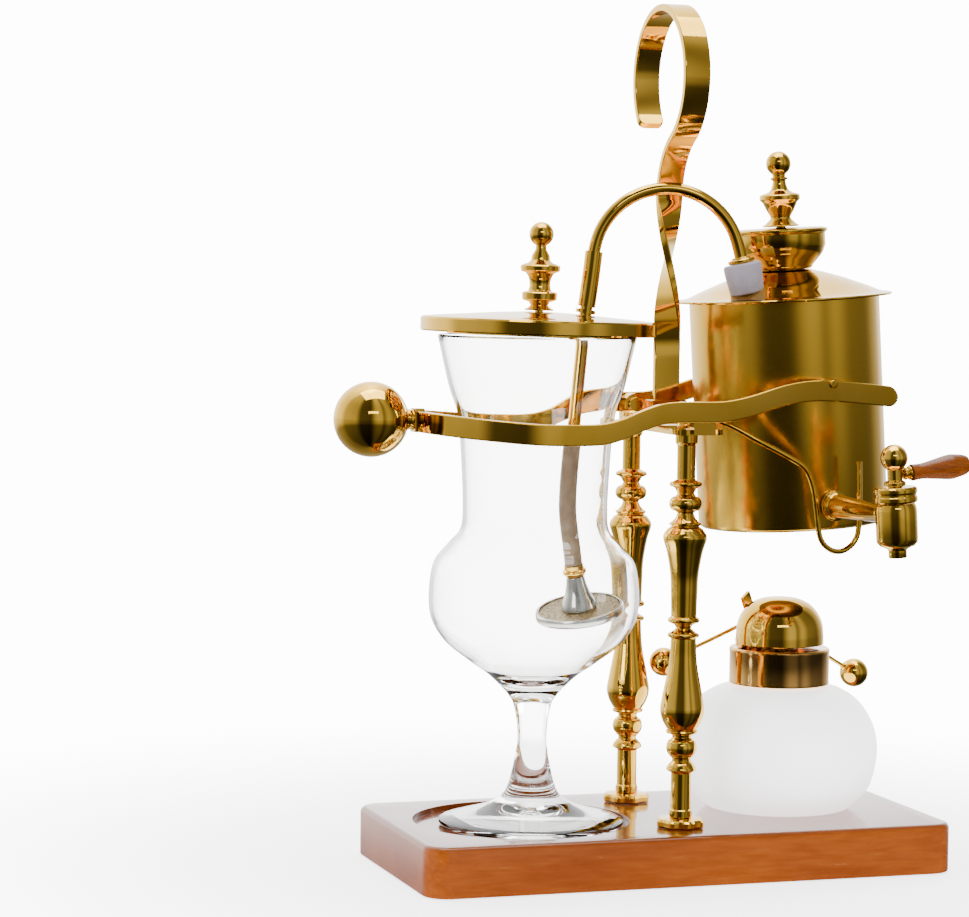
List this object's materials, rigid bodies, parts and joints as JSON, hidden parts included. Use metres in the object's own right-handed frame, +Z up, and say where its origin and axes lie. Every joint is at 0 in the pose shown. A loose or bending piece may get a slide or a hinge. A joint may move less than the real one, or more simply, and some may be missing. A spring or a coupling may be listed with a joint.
{
  "type": "balancing siphon coffee maker",
  "caption": "Balancing siphon coffee maker: gold boiler and ball weight on a rocking beam, glass goblet, arched siphon tube, spirit burner and wooden base.",
  "frame": {"origin": "centre of the base board's underside", "axes": "+Z up, +X from the goblet to the boiler, -Y to the front, where the tap is"},
  "size_m": [0.3224, 0.2004, 0.4535],
  "materials": {
    "gold": "polished",
    "satin_gold": "satin",
    "steel": "brushed",
    "lacquered_wood": "gloss lacquer",
    "turned_wood": "varnished",
    "clear_glass": "clear",
    "frosted_glass": "frosted",
    "silicone": "matt",
    "hose_silicone": "satin",
    "cotton": "woven"
  },
  "bodies": {
    "frame": {"base_board": "lacquered_wood", "bridge": "gold", "cap_nut_front": "gold", "cap_nut_rear": "gold", "carry_hook": "gold", "column_foot_front": "gold", "column_foot_rear": "gold", "column_front": "gold", "column_rear": "gold", "glass_goblet": "clear_glass", "glass_lid": "gold", "hook_foot": "gold", "lid_knob": "gold", "lid_nut": "gold", "stay_wire": "gold"},
    "beam": {"beam_arm_front": "gold", "beam_arm_rear": "gold", "beam_yoke_block": "gold", "counterweight_ball": "gold", "pivot_pin_front": "gold", "pivot_pin_rear": "gold"},
    "boiler": {"boiler_shell": "satin_gold", "boiler_lid": "gold", "trunnion_front": "gold", "trunnion_rear": "gold", "tap_flange": "gold", "tap_stem": "gold", "tap_body": "gold", "tap_collar": "gold", "stopper": "silicone", "siphon_tube": "gold", "siphon_sleeve": "gold", "siphon_washer": "gold", "hose": "hose_silicone", "hose_coupling": "gold", "filter_stem": "steel", "filter_dish": "steel", "filter_mesh": "steel"},
    "filler_cap": {"filler_cap": "gold", "cap_knob": "gold"},
    "tap_plug": {"tap_plug": "gold", "tap_lever": "gold", "tap_ferrule": "gold", "tap_handle": "turned_wood"},
    "burner": {"burner_glass": "frosted_glass", "burner_collar": "gold", "wick_holder": "gold", "wick": "cotton", "hinge_pin": "gold"},
    "snuffer": {"snuffer": "gold", "yoke_rod": "gold", "weight_ball_left": "gold", "weight_ball_right": "gold"}
  },
  "joints": [
    {"name": "beam_rock", "type": "hinge", "parent": "frame", "child": "beam", "pos_m": [0.004, 0, 0.2415], "axis": [0, 1, 0], "range_deg": [0, 4]},
    {"name": "boiler_hang", "type": "hinge", "parent": "beam", "child": "boiler", "pos_m": [0.073, 0, 0.257], "axis": [0, 1, 0], "range_deg": [-4, 0]},
    {"name": "filler_cap_lift", "type": "slide", "parent": "boiler", "child": "filler_cap", "axis": [-0.0645, 0, 0.9979], "range_m": [0, 0.03]},
    {"name": "tap_turn", "type": "hinge", "parent": "boiler", "child": "tap_plug", "pos_m": [0.08133, -0.12043, 0.1934], "axis": [-0.0645, 0, 0.9979], "range_deg": [-90, 0]},
    {"name": "burner_slide", "type": "slide", "parent": "frame", "child": "burner", "axis": [1, 0, 0], "range_m": [0, 0.12]},
    {"name": "snuffer_flip", "type": "hinge", "parent": "burner", "child": "snuffer", "pos_m": [0.074, 0.036, 0.113], "axis": [-1, 0, 0], "range_deg": [0, 100]}
  ],
  "couplings": [
    {"joint": "boiler_hang", "follows": "beam_rock", "ratio": -1}
  ]
}
